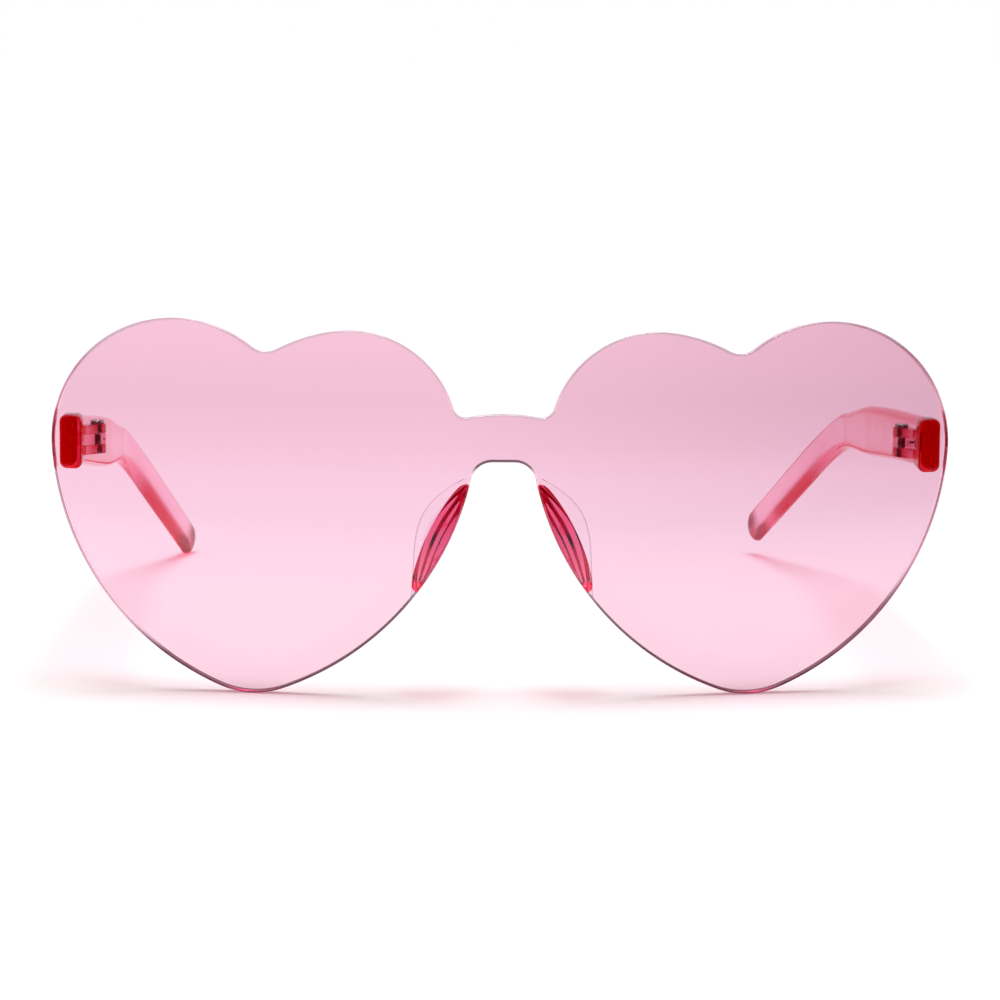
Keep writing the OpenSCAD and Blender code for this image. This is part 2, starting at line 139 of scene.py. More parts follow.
def heart_outline(step):
    """Outline of the front as [x, z], clockwise seen from the front, from the top of the bridge."""
    half = (arc(bridge_c, BRIDGE_R, 90, heading(bridge_corner_c - bridge_c), step)
            + arc(bridge_corner_c, BRIDGE_CORNER_R, heading(bridge_c - bridge_corner_c),
                  heading(inner_lobe_c - bridge_corner_c), step)
            + arc(inner_lobe_c, INNER_LOBE_R, heading(bridge_corner_c - inner_lobe_c), SHOULDER_ANGLE, step)
            + arc(shoulder_c, SHOULDER_R, SHOULDER_ANGLE, heading(notch_c - shoulder_c), step)
            + arc(notch_c, NOTCH_R, heading(shoulder_c - notch_c), heading(outer_lobe_c - notch_c), step)
            + arc(outer_lobe_c, OUTER_LOBE_R, heading(notch_c - outer_lobe_c), heading(outer_lobe_c - side_c), step)
            + arc(side_c, SIDE_R, heading(outer_lobe_c - side_c), heading(tip_c - side_c), step)
            + arc(tip_c, TIP_R, heading(tip_c - side_c), heading(tip_c - nose_c), step)
            + arc(nose_c, NOSE_SIDE_R, heading(tip_c - nose_c), heading(arch_c - nose_c), step)
            + arc(arch_c, ARCH_CORNER_R, heading(nose_c - arch_c), 90, step)
            + [np.array([arch_c[0] * (1 - i / 8), BRIDGE_LOW]) for i in range(8)])
    left = [np.array([-p[0], p[1]]) for p in half[:0:-1]]
    return half + [np.array([0.0, BRIDGE_LOW])] + left


def smooth(t):
    t = np.clip(t, 0, 1)
    return t * t * (3 - 2 * t)


def place(points, left=False):
    """Points in mm with Y from the front's foremost point, as metres in the shared frame."""
    p = np.array(points, float) * MM
    if left:
        p[..., 0] *= -1
    p[..., 1] -= HALF_DEPTH * MM
    return p


def make_object(name, verts, faces, materials, rounded=True):
    mesh = bpy.data.meshes.new(name)
    mesh.from_pydata([tuple(v) for v in verts], [], [tuple(f) for f in faces])
    mesh.validate()
    obj = bpy.data.objects.new(name, mesh)
    bpy.context.collection.objects.link(obj)
    for m in materials:
        mesh.materials.append(m)
    mesh.polygons.foreach_set("use_smooth", [rounded] * len(mesh.polygons))
    return obj


def write_shares(obj, name, values):
    """A share from 0 to 1 at each point of the mesh, for its material."""
    obj.data.attributes.new(name, "FLOAT", "POINT").data.foreach_set("value", values)


def outward(obj):
    bm = bmesh.new()
    bm.from_mesh(obj.data)
    bmesh.ops.recalc_face_normals(bm, faces=bm.faces)
    bm.to_mesh(obj.data)
    bm.free()


# Materials


def node(tree, kind, **sockets):
    n = tree.nodes.new(kind)
    for k, v in sockets.items():
        n.inputs[k.replace("_", " ")].default_value = v
    return n


def new_material(name):
    m = bpy.data.materials.new(name)
    m.use_nodes = True
    t = m.node_tree
    t.nodes.clear()
    out = t.nodes.new("ShaderNodeOutputMaterial")
    p = t.nodes.new("ShaderNodeBsdfPrincipled")
    return m, t, out, p


def math_node(t, operation, *values):
    n = t.nodes.new("ShaderNodeMath")
    n.operation = operation
    for i, v in enumerate(values):
        if isinstance(v, (int, float)):
            n.inputs[i].default_value = v
        else:
            t.links.new(v, n.inputs[i])
    return n.outputs[0]


def mix_colours(t, share, first, second, blend="MIX"):
    """From first to second by share. Each is a colour or another node's output."""
    n = t.nodes.new("ShaderNodeMix")
    n.data_type = "RGBA"
    n.blend_type = blend
    t.links.new(share, n.inputs[0])
    for socket, colour in ((n.inputs[6], first), (n.inputs[7], second)):
        if isinstance(colour, tuple):
            socket.default_value = (*colour, 1)
        else:
            t.links.new(colour, socket)
    return n.outputs[2]


def share_at(t, name):
    """The share that write_shares left at each point."""
    n = t.nodes.new("ShaderNodeAttribute")
    n.attribute_name = name
    return n.outputs["Fac"]


def lets_lamps_through(t, out, shader, shadow, spent, turns):
    """Clear plastic whose shadow is light that has passed it. Light that has turned often goes out
    straight, with the tint spent."""
    path = t.nodes.new("ShaderNodeLightPath")
    clear = t.nodes.new("ShaderNodeBsdfTransparent")
    t.links.new(mix_colours(t, path.outputs["Is Shadow Ray"], spent, shadow), clear.inputs["Color"])
    mix = t.nodes.new("ShaderNodeMixShader")
    late = math_node(t, "GREATER_THAN", path.outputs["Ray Depth"], turns + 0.5)
    often = math_node(t, "GREATER_THAN", path.outputs["Glossy Depth"], 3.5)
    straight = math_node(t, "MAXIMUM", late, often)
    t.links.new(math_node(t, "MAXIMUM", path.outputs["Is Shadow Ray"], straight), mix.inputs[0])
    t.links.new(shader.outputs[0], mix.inputs[1])
    t.links.new(clear.outputs[0], mix.inputs[2])
    t.links.new(mix.outputs[0], out.inputs["Surface"])


def absorb(t, out, per_mm):
    """What a millimetre of the dyed plastic takes off red, green and blue."""
    density = max(per_mm) / MM * 1.02
    v = node(t, "ShaderNodeVolumeAbsorption", Density=density)
    v.inputs["Color"].default_value = (*[1 - a / MM / density for a in per_mm], 1)
    t.links.new(v.outputs[0], out.inputs["Volume"])


def position(t):
    return t.nodes.new("ShaderNodeTexCoord").outputs["Object"]


def noise(t, scale, detail=3.0, stretch=None):
    n = node(t, "ShaderNodeTexNoise", Scale=scale, Detail=detail)
    where = position(t)
    if stretch:
        m = node(t, "ShaderNodeMapping")
        m.inputs["Scale"].default_value = stretch
        t.links.new(where, m.inputs["Vector"])
        where = m.outputs[0]
    t.links.new(where, n.inputs["Vector"])
    return n.outputs["Fac"]


def spread(t, value, low, high, start=0.0, end=1.0):
    r = node(t, "ShaderNodeMapRange", From_Min=start, From_Max=end, To_Min=low, To_Max=high)
    t.links.new(value, r.inputs["Value"])
    return r.outputs[0]


def ripple(t, p, value, strength, distance):
    b = node(t, "ShaderNodeBump", Strength=strength, Distance=distance)
    t.links.new(value, b.inputs["Height"])
    t.links.new(b.outputs[0], p.inputs["Normal"])


# Painted shade on the polished rim: least where it faces sideways, some where it faces up, most where it
# faces down. Near a rim that faces down, light that it has thrown back once is painted darker with the
# inside shade, and what turns on there with the spent shade.
RIM_PALE, RIM_SHADE_DARK = (0.98, 0.98, 0.98), (0.042, 0.014, 0.018)
RIM_INSIDE_SHADE, RIM_SPENT_SHADE = (0.03, 0.004, 0.01), (0.04, 0.006, 0.016)
# The shield's shadow, its light that has turned often, and what a millimetre of it takes off
LENS_SHADOW, LENS_SPENT, LENS_LOSS = (0.60, 0.46, 0.50), (0.81, 0.75, 0.77), (0.006, 0.12, 0.065)
# Painted shade that darkens the shield toward its right end, most in its upper part
SIDE_SHADE = (0.81, 0.76, 0.79)
# Pink dye of the shield with painted shade, darker in its upper part, by share of its height, both ends
# first because the ramp starts with those two
DYE_AND_SHADE = [(0.0, (1.0, 0.88, 0.91)), (1.0, (0.97, 0.73, 0.82)), (0.27, (1.0, 0.855, 0.905)),
       (0.43, (1.0, 0.845, 0.925)), (0.59, (1.0, 0.795, 0.885)), (0.67, (0.955, 0.73, 0.82)),
       (0.785, (0.905, 0.685, 0.77)), (0.93, (0.955, 0.71, 0.80))]


def tinted_lens():
    m, t, out, p = new_material("tinted_lens")
    split = t.nodes.new("ShaderNodeSeparateXYZ")
    t.links.new(position(t), split.inputs[0])
    # Pink dye with painted shade, darker toward the top
    ramp = t.nodes.new("ShaderNodeValToRGB")
    t.links.new(spread(t, split.outputs["Z"], 0, 1, 0.0, LENS_HEIGHT * MM), ramp.inputs[0])
    for i, (at, colour) in enumerate(DYE_AND_SHADE):
        stop = ramp.color_ramp.elements[i] if i < 2 else ramp.color_ramp.elements.new(at)
        stop.position, stop.color = at, (*colour, 1)
    # Painted shade toward the shield's right end, most in its upper part
    side = spread(t, split.outputs["X"], 0.0, 1.0, -0.01, 0.075)
    high = spread(t, split.outputs["Z"], 0.25, 1.0, 0.018, 0.044)
    dye_with_shade = mix_colours(t, math_node(t, "MULTIPLY", side, high), ramp.outputs[0], SIDE_SHADE, "MULTIPLY")
    # The rim's colour: pale, with painted shade by the way the rim faces
    rim = mix_colours(t, share_at(t, "rim_painted_shade"), RIM_PALE, RIM_SHADE_DARK)
    surface = mix_colours(t, share_at(t, "rim"), dye_with_shade, rim)
    # Near a rim that faces down, light thrown back inside the shield is painted darker, and so is what turns on
    # there
    shade_beside_rim = share_at(t, "rim_inside_shade")
    path = t.nodes.new("ShaderNodeLightPath")
    turned = math_node(t, "GREATER_THAN", path.outputs["Glossy Depth"], 0.5)
    thrown = mix_colours(t, math_node(t, "MULTIPLY", turned, shade_beside_rim), surface, RIM_INSIDE_SHADE)
    t.links.new(thrown, p.inputs["Base Color"])
    p.inputs["Transmission Weight"].default_value = 1.0
    p.inputs["IOR"].default_value = 1.49
    t.links.new(spread(t, noise(t, 180.0), 0.0, 0.03), p.inputs["Roughness"])
    ripple(t, p, noise(t, 28.0, 1.0), 0.02, 0.0004)
    lets_lamps_through(t, out, p, LENS_SHADOW, mix_colours(t, shade_beside_rim, LENS_SPENT, RIM_SPENT_SHADE), 2)
    absorb(t, out, LENS_LOSS)
    return m


# Painted deeper red, standing in for light guided along the plastic in a temple's streak, and painted shade at the
# dark end of a temple
PAINTED_DEEP_TINT, TIP_SHADE_TINT = (0.56, 0.02, 0.035), (0.24, 0.002, 0.02)


def tinted_plastic(name, per_mm, shadow, spent):
    """Moulded plastic. Its surface is painted deeper red, and painted with shade, where a piece has those shares.
    """
    m, t, out, p = new_material(name)
    plain = mix_colours(t, spread(t, noise(t, 90.0, 2.0), 0, 1, 0.35, 0.65), (1.0, 0.98, 0.99), (1.0, 0.94, 0.96))
    # Painted deeper red where a piece has that share
    painted_deep_red = mix_colours(t, share_at(t, "painted_deep_red"), plain, PAINTED_DEEP_TINT)
    # Painted shade at a temple's tip
    t.links.new(mix_colours(t, share_at(t, "painted_tip_shade"), painted_deep_red, TIP_SHADE_TINT), p.inputs["Base Color"])
    p.inputs["Transmission Weight"].default_value = 1.0
    p.inputs["IOR"].default_value = 1.58
    t.links.new(spread(t, noise(t, 260.0), 0.02, 0.09), p.inputs["Roughness"])
    ripple(t, p, noise(t, 60.0, 2.0), 0.05, 0.0006)
    lets_lamps_through(t, out, p, shadow, spent, 8)
    absorb(t, out, per_mm)
    return m


def screw_steel():
    m, t, out, p = new_material("screw_steel")
    p.inputs["Metallic"].default_value = 1.0
    fine = noise(t, 4000.0, 3.0, (1.0, 0.08, 1.0))
    t.links.new(mix_colours(t, fine, (0.26, 0.25, 0.25), (0.44, 0.43, 0.42)), p.inputs["Base Color"])
    t.links.new(spread(t, fine, 0.18, 0.42), p.inputs["Roughness"])
    ripple(t, p, fine, 0.2, 0.00002)
    t.links.new(p.outputs[0], out.inputs["Surface"])
    return m


FILM_TINT = (0.98, 0.96, 0.97)


def clear_film(name, level, ior):
    """Thin clear bond under a nose pad, seen only by its edge."""
    m, t, out, p = new_material(name)
    colour = mix_colours(t, spread(t, noise(t, 120.0, 2.0), 0, 1, 0.35, 0.65),
                         (1.0 * level, 0.99 * level, 0.995 * level), (0.99 * level, 0.97 * level, 0.98 * level))
    t.links.new(colour, p.inputs["Base Color"])
    p.inputs["Transmission Weight"].default_value = 1.0
    p.inputs["IOR"].default_value = ior
    t.links.new(spread(t, noise(t, 200.0), 0.0, 0.04), p.inputs["Roughness"])
    lets_lamps_through(t, out, p, FILM_TINT, FILM_TINT, 4)
    return m


LENS = tinted_lens()
# The edge band is half dark: a line of painted shade along the bond's outer edge
FILM, FILM_EDGE_SHADE = clear_film("clear_film", 1.0, 1.2), clear_film("clear_film_edge_shade", 0.5, 1.02)
RED_SHADOW, RED_SPENT = (0.80, 0.45, 0.52), (0.90, 0.55, 0.62)
PAD_PLASTIC = tinted_plastic("pad_plastic", (0.012, 0.23, 0.15), RED_SHADOW, RED_SPENT)
BLOCK_PLASTIC = tinted_plastic("end_piece_plastic", (0.055, 0.75, 0.58), RED_SHADOW, RED_SPENT)
TEMPLE_PLASTIC = tinted_plastic("temple_plastic", (0.003, 0.13, 0.09), (0.74, 0.58, 0.64), (0.94, 0.72, 0.79))
STEEL = screw_steel()


# Lens shield: two spherical faces and a rim that stands square to them, with polished edges

# Spacing of the points along the rim and on the faces, and how far those keep from the rim
RIM_STEP, FACE_STEP, FACE_CLEAR = 0.7, 2.2, 1.1
# Within this of a rim that faces down, light that it has thrown back leaves darker, a painted shade
SHADE_BESIDE_RIM = 4.0


def lens_shield():
    outline = np.array(heart_outline(RIM_STEP))
    n = len(outline)
    centre = np.array([0.0, FACE_RADIUS, MIDDLE_Z])

    def on_face(q):
        """The direction from the faces' centre through a point of the front face."""
        x, z = q[:, 0], q[:, 1] - MIDDLE_Z
        return np.stack([x, -np.sqrt(FACE_RADIUS ** 2 - x * x - z * z), z], 1) / FACE_RADIUS

    rim = on_face(outline)
    along_rim = np.roll(rim, -1, 0) - np.roll(rim, 1, 0)
    out = np.cross(along_rim, rim)
    out /= np.linalg.norm(out, axis=1)[:, None]
    # Outward is away from a point well inside the right lobe
    middle = np.array([[40.0, 30.0]])
    k = int(np.argmax(outline[:, 0]))
    if np.dot(out[k], rim[k] - on_face(middle)[0]) < 0:
        out = -out
    rings, normals = [], []
    steps = 8
    for i in range(steps + 1):
        a = math.pi / 2 * i / steps
        rings.append(centre + rim * (FACE_RADIUS - RIM_R + RIM_R * math.cos(a)) - out * RIM_R * (1 - math.sin(a)))
        normals.append(rim * math.cos(a) + out * math.sin(a))
    for i in range(steps + 1):
        a = math.pi / 2 * i / steps
        rings.append(centre + rim * (REAR_RADIUS + RIM_R - RIM_R * math.sin(a)) - out * RIM_R * (1 - math.cos(a)))
        normals.append(out * math.cos(a) - rim * math.sin(a))
    verts = [p for r in rings for p in r]
    vnorm = [p for r in normals for p in r]
    m = len(rings)
    faces = []
    for i in range(m - 1):
        for j in range(n):
            a, b = i * n + j, i * n + (j + 1) % n
            faces.append((a, b, b + n, a + n))
    # The faces: a net of even points inside the rim
    inset = np.array([[r[0], r[2]] for r in rings[0]])
    pts = [Vector(p) for p in inset]
    for gx in np.arange(-FRONT_WIDTH / 2, FRONT_WIDTH / 2, FACE_STEP):
        for row, gz in enumerate(np.arange(0, LENS_HEIGHT, FACE_STEP * 0.87)):
            q = np.array([gx + (row % 2) * FACE_STEP / 2, gz])
            if inside(inset, q) and np.min(np.hypot(*(inset - q).T)) > FACE_CLEAR:
                pts.append(Vector(q))
    net = geometry.delaunay_2d_cdt(pts, [(i, (i + 1) % n) for i in range(n)], [], 1, 1e-7)
    flat, tris = net[0], net[2]
    assert len(flat) == len(pts)
    base = len(verts)
    back_ring = (m - 1) * n
    inner = np.array([[p[0], p[1]] for p in pts[n:]])
    dirs = on_face(inner)
    verts += list(centre + dirs * FACE_RADIUS) + list(centre + dirs * REAR_RADIUS)
    vnorm += list(dirs) + list(-dirs)
    count = len(inner)
    for tri in tris:
        f = [v if v < n else base + v - n for v in tri]
        b = [back_ring + v if v < n else base + count + v - n for v in tri]
        faces.append(tuple(f))
        faces.append(tuple(reversed(b)))
    obj = make_object("lens_front", place(verts), faces, [LENS])
    outward(obj)
    # How much of the rim's colour each point has, most on its rounded edges and, where it faces down, on the
    # rest of it, and how dark its painted shade is there: most where the rim faces down, less on the left
    # lens's outer side, some where it faces up, more toward the right
    far_left = np.where(outline[:, 0] < 0, np.clip(-out[:, 0], 0, 1), 0)
    down = smooth((-out[:, 2] - 0.45 - 0.3 * far_left) / 0.2)
    painted_shade = down + (0.55 + 0.2 * np.clip(outline[:, 0] / 60, 0, 1)) * smooth((out[:, 2] - 0.25) / 0.4)
    amount, painted_shades, shade_within = np.zeros(len(verts)), np.zeros(len(verts)), np.zeros(len(verts))
    for i in range(m):
        turned = math.sin(math.pi * (i if i <= steps else i - steps - 1) / steps) ** 0.5
        amount[i * n:(i + 1) * n] = turned + (1 - turned) * (0.9 * down if 0 < i < m - 1 else 0)
        painted_shades[i * n:(i + 1) * n] = painted_shade
        shade_within[i * n:(i + 1) * n] = down
    # Painted shade for thrown-back light also on the faces near a rim that faces down
    for i, q in enumerate(inner):
        far = np.hypot(*(inset - q).T)
        if far.min() < SHADE_BESIDE_RIM:
            shade_within[[base + i, base + count + i]] = down[int(np.argmin(far))]
    for name, values in (("rim", amount), ("rim_painted_shade", painted_shades), ("rim_inside_shade", shade_within)):
        write_shares(obj, name, values)
    obj.data.normals_split_custom_set_from_vertices([tuple(v) for v in vnorm])
    return obj


def inside(poly, q):
    x, z = poly[:, 0], poly[:, 1]
    x2, z2 = np.roll(x, -1), np.roll(z, -1)
    cross = (z > q[1]) != (z2 > q[1])
    with np.errstate(divide="ignore", invalid="ignore"):
        at = x + (q[1] - z) * (x2 - x) / (z2 - z)
    return bool(np.sum(cross & (q[0] < at)) % 2)


def loft(rings):
    """Verts and faces of a closed skin through rings, with a face over each end."""
    verts, faces = [tuple(p) for r in rings for p in r], []
    n, m = len(rings[0]), len(rings)
    for i in range(m - 1):
        for k in range(n):
            a, b = i * n + k, i * n + (k + 1) % n
            faces.append((a, b, b + n, a + n))
    faces.append(tuple(reversed(range(n))))
    faces.append(tuple(range((m - 1) * n, m * n)))
    return verts, faces


def joined(name, parts, cut=(), material=None):
    """One solid out of overlapping closed shapes, less the cuts."""
    objs = [make_object(name if i == 0 else name + "_add", v, f, [material]) for i, (v, f) in enumerate(parts)]
    cuts = [make_object(name + "_cut", v, f, [material]) for v, f in cut]
    for o in objs + cuts:
        outward(o)
    base = objs[0]
    for o, how in [(o, "UNION") for o in objs[1:]] + [(o, "DIFFERENCE") for o in cuts]:
        mod = base.modifiers.new(how.lower(), "BOOLEAN")
        mod.operation = how
        mod.solver = "EXACT"
        mod.object = o
    graph = bpy.context.evaluated_depsgraph_get()
    graph.update()
    mesh = bpy.data.meshes.new_from_object(base.evaluated_get(graph))
    base.modifiers.clear()
    base.data = mesh
    for o in objs[1:] + cuts:
        bpy.data.objects.remove(o, do_unlink=True)
    bm = bmesh.new()
    bm.from_mesh(mesh)
    bmesh.ops.remove_doubles(bm, verts=bm.verts, dist=2e-6)
    bmesh.ops.dissolve_degenerate(bm, edges=bm.edges, dist=2e-6)
    bm.to_mesh(mesh)
    bm.free()
    return base


def soften(obj, width, angle=40.0, segments=3):
    """Rounds the sharp edges that moulding leaves round, and smooths the shading between them."""
    mod = obj.modifiers.new("edges", "BEVEL")
    mod.width = width * MM
    mod.segments = segments
    mod.limit_method = "ANGLE"
    mod.angle_limit = math.radians(angle)
    mod.harden_normals = False
    graph = bpy.context.evaluated_depsgraph_get()
    graph.update()
    mesh = bpy.data.meshes.new_from_object(obj.evaluated_get(graph))
    obj.modifiers.clear()
    obj.data = mesh
    mesh.polygons.foreach_set("use_smooth", [True] * len(mesh.polygons))
    mesh.set_sharp_from_angle(angle=math.radians(angle))


def cylinder(x, y, r, low, high, sides=48):
    rings = [[(x + r * math.cos(2 * math.pi * i / sides), y + r * math.sin(2 * math.pi * i / sides), z)
              for i in range(sides)] for z in (low, high)]
    return loft(rings)


def finish_piece(obj, body, slot, *nodes):
    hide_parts(*nodes)
    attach(obj, body)
    return obj


BLOCK_MID = (BLOCK_IN + BLOCK_OUT) / 2
STOP_Y = rear_y(BLOCK_MID, HINGE_Z) + BLOCK_REACH
HINGE_X, HINGE_Y = BLOCK_IN - KNUCKLE_ARM, STOP_Y + HINGE_SETBACK
STACK_HEIGHT = 2 * OUTER_KNUCKLE + 2 * KNUCKLE_GAP + MIDDLE_KNUCKLE
STACK_LOW, STACK_TOP = HINGE_Z - STACK_HEIGHT / 2, HINGE_Z + STACK_HEIGHT / 2


def hull(points):
    """Convex outline of points in the plane, anticlockwise."""
    pts = sorted(set(tuple(p) for p in points))

    def half(seq):
        out = []
        for p in seq:
            while len(out) > 1 and ((out[-1][0] - out[-2][0]) * (p[1] - out[-2][1])
                                    - (out[-1][1] - out[-2][1]) * (p[0] - out[-2][0])) <= 0:
                out.pop()
            out.append(p)
        return out[:-1]
    return half(pts) + half(reversed(pts))


def knuckle(face_x, root, low, high, bottom, top, left):
    """Barrel of a knuckle with its arm, rooted in a piece from face_x to face_x + root."""
    barrel = [(HINGE_X + KNUCKLE_R * math.cos(a), HINGE_Y + KNUCKLE_R * math.sin(a))
              for a in np.linspace(0, 2 * math.pi, 48, endpoint=False)]
    plan = hull(barrel + [(face_x, low), (face_x + root, low), (face_x + root, high), (face_x, high)])
    v, f = loft([[(x, y, z) for x, y in plan] for z in (bottom, top)])
    return place(v, left), f


# End pieces: a rounded block on the shield's rear face, with two knuckles


def end_piece(left):
    side = "left" if left else "right"
    a, b = BLOCK_WIDTH / 2 - BLOCK_CORNER_R, BLOCK_HEIGHT / 2 - BLOCK_CORNER_R
    plan = []
    for q in range(4):
        for k in range(9):
            v = unit(90 * (q + k / 8))
            plan.append(((a if q in (0, 3) else -a) + BLOCK_CORNER_R * v[0],
                         (b if q < 2 else -b) + BLOCK_CORNER_R * v[1]))
    half_width, half_height = BLOCK_WIDTH / 2, BLOCK_HEIGHT / 2

    def drawn_in(k):
        """The plan in its place, each side drawn in by k."""
        return [(BLOCK_MID + x * (1 - k / half_width), HINGE_Z + z * (1 - k / half_height)) for x, z in plan]

    quarter = [math.radians(90 * i / 4) for i in range(5)]
    rings = [[(x, rear_y(x, z) + GLUE + BLOCK_EDGE_R * (1 - math.cos(t)), z)
              for x, z in drawn_in(BLOCK_EDGE_R * (1 - math.sin(t)))] for t in quarter]
    rings += [[(x, STOP_Y - BLOCK_EDGE_R * (1 - math.sin(t)), z)
               for x, z in drawn_in(BLOCK_EDGE_R * (1 - math.cos(t)))] for t in quarter]
    # The glued face follows the shield, ring by ring to its middle
    inner = []
    for s in (0.25, 0.5, 0.75):
        inner.append([(BLOCK_MID + (p[0] - BLOCK_MID) * s, 0.0, HINGE_Z + (p[2] - HINGE_Z) * s) for p in rings[0]])
    inner = [[(x, rear_y(x, z) + GLUE, z) for x, _, z in r] for r in inner]
    v, f = loft(inner + rings)
    block = (place(v, left), f)
    neck_low = STOP_Y - BLOCK_REACH * NECK_SHARE
    arms = [knuckle(BLOCK_IN, TEMPLE_OFFSET / 2, neck_low, STOP_Y, low, low + OUTER_KNUCKLE, left)
            for low in (STACK_LOW, STACK_TOP - OUTER_KNUCKLE)]
    v, f = cylinder(HINGE_X, HINGE_Y, SHANK_R + BORE_CLEARANCE, STACK_LOW - 1, STACK_TOP + 1)
    obj = joined("end_piece_moulding_" + side, [block] + arms, [(place(v, left), f)], BLOCK_PLASTIC)
    soften(obj, 0.12)
    # The knuckle arms, inward of the block, get the same painted deeper red as a temple
    x = np.abs([v.co.x for v in obj.data.vertices]) / MM
    write_shares(obj, "painted_deep_red", 0.8 * (x < BLOCK_IN - 0.05))
    return finish_piece(obj, "front", "tinted_plastic", "end_piece_" + side)


# Temples: rings along an arched shaft, a knee and the ear part


def temple_rings(lift, lean):
    """Rings of a temple that stands lift higher and leans lean inward, its knee, tip and ear direction."""
    front = np.array([BLOCK_IN + TEMPLE_OFFSET + TEMPLE_THICKNESS / 2, STOP_Y + STOP_GAP, HINGE_Z])
    knee = front + np.array([-lean * KNEE_LEAN_SHARE, SHAFT_LENGTH, lift - SHAFT_FALL])
    tip = np.array([front[0] - EAR_INSET - lean, front[1] + SHAFT_LENGTH + EAR_REACH, TIP_HEIGHT / 2 + lift])
    arch = (front + knee) / 2 + np.array([0, 0, ARCH_SHARE * lift])
    ear_dir = along(tip - knee)
    start, end = knee - KNEE_LENGTH * along(knee - arch), knee + KNEE_LENGTH * ear_dir
    thinner = TIP_THICKNESS - TEMPLE_THICKNESS

    def ring(c, d, height, thickness, oval=0.0):
        s = along([d[1], -d[0], 0.0])
        u = np.cross(s, d)
        r = TEMPLE_EDGE_R * thickness / TEMPLE_THICKNESS
        wide, tall = r + oval * (thickness * 0.49 - r), r + oval * (height * 0.46 - r)
        a, b = thickness / 2 - wide, height / 2 - tall
        pts = []
        for q in range(4):
            for k in range(9):
                v = unit(90 * (q + k / 8))
                pts.append(c + ((a if q in (0, 3) else -a) + wide * v[0]) * s
                           + ((b if q < 2 else -b) + tall * v[1]) * u)
        return pts

    def height(t):
        if t < BELLY_SHARE:
            return FRONT_HEIGHT + (BELLY_HEIGHT - FRONT_HEIGHT) * smooth(t / BELLY_SHARE)
        return BELLY_HEIGHT + (KNEE_HEIGHT - BELLY_HEIGHT) * smooth((t - BELLY_SHARE) / (1 - BELLY_SHARE))

    rings = []
    for i in range(41):
        t = i / 40
        c = (1 - t) ** 2 * front + 2 * t * (1 - t) * arch + t * t * start
        d = along((1 - t) * (arch - front) + t * (start - arch))
        rings.append(ring(c, along(np.array([0, 1 - t, 0]) + t * d), height(t), TEMPLE_THICKNESS))
    for i in range(1, 29):
        t = i / 28
        c = (1 - t) ** 2 * start + 2 * t * (1 - t) * knee + t * t * end
        d = along((1 - t) * (knee - start) + t * (end - knee))
        rings.append(ring(c, d, KNEE_HEIGHT, TEMPLE_THICKNESS + KNEE_TAPER_SHARE * smooth(t) * thinner, smooth(t)))
    for i in range(1, 13):
        t = i / 12
        rings.append(ring(end + t * (tip - end), ear_dir, KNEE_HEIGHT + (TIP_HEIGHT - KNEE_HEIGHT) * smooth(t),
                          TEMPLE_THICKNESS + (KNEE_TAPER_SHARE + (1 - KNEE_TAPER_SHARE) * t) * thinner, 1.0))
    for i in range(1, 15):
        a = math.radians(88.0 * i / 14)
        rings.append(ring(tip + TIP_HEIGHT / 2 * math.sin(a) * ear_dir, ear_dir,
                          TIP_HEIGHT * math.cos(a), TIP_THICKNESS * math.cos(a), 1.0))
    return rings, knee, tip, ear_dir


# How far up the lower edge's painted streak reaches, standing in for light guided along the plastic, from -1 at
# that edge to 1 at the upper one
STREAK_RISE = -0.2


def temple(left):
    side = "left" if left else "right"
    rings, knee, tip, ear_dir = temple_rings(*((0.0, -STANCE_LEAN) if left else (STANCE_LIFT, STANCE_LEAN)))
    v, f = loft(rings)
    low = HINGE_Z - MIDDLE_KNUCKLE / 2
    arm = knuckle(BLOCK_IN + TEMPLE_OFFSET, TEMPLE_THICKNESS / 2, HINGE_Y - KNUCKLE_R / 2,
                  HINGE_Y + 2 * KNUCKLE_R, low, low + MIDDLE_KNUCKLE, left)
    bv, bf = cylinder(HINGE_X, HINGE_Y, SHANK_R + BORE_CLEARANCE, low - 1, low + MIDDLE_KNUCKLE + 1)
    obj = joined("temple_moulding_" + side, [(place(v, left), f), arm], [(place(bv, left), bf)], TEMPLE_PLASTIC)
    soften(obj, 0.1, 50.0)
    # Painted deeper red along the lower edge of the ear part, standing in for light guided along the plastic,
    # and painted deeper red at the tip and in the knuckle; painted shade on the upper edge of the tip. On the right
    # temple the streak ends before the tip.
    p = np.array([v.co for v in obj.data.vertices]) / MM
    p[:, 1] += HALF_DEPTH
    p[:, 0] *= -1 if left else 1
    across = along([ear_dir[1], -ear_dir[0], 0.0])
    rise = (p - knee) @ np.cross(across, ear_dir) / (TIP_HEIGHT / 2)
    past = (p - knee) @ ear_dir
    to_end = np.linalg.norm(tip - knee) - past
    streak = smooth((past - 2.0) / 14.0) * smooth((-rise + STREAK_RISE) / 0.4)
    if not left:
        streak *= 1 - 0.8 * smooth((13.0 - to_end) / 6.0)
    cap = smooth((2.0 - to_end) / 4.0)
    # Painted shade on the upper edge of the tip
    painted_tip_shade = smooth((3.0 - to_end) / 4.0) * smooth((rise + 0.4) / 0.8)
    barrel = 0.6 * (p[:, 0] < BLOCK_IN + TEMPLE_OFFSET - 0.05) * (p[:, 1] < HINGE_Y + 4)
    write_shares(obj, "painted_deep_red", np.maximum(np.maximum(streak, cap), barrel))
    write_shares(obj, "painted_tip_shade", painted_tip_shade)
    return finish_piece(obj, side + "_temple", "tinted_plastic", "temple_" + side)


# Nose pads: a film bonded to the shield and a wall that leans away from the nose


def nose_dir(z):
    return 180 + math.degrees(math.asin((nose_c[1] - z) / NOSE_SIDE_R))


def nose_point(a, w):
    return nose_c + (NOSE_SIDE_R - w) * unit(a)


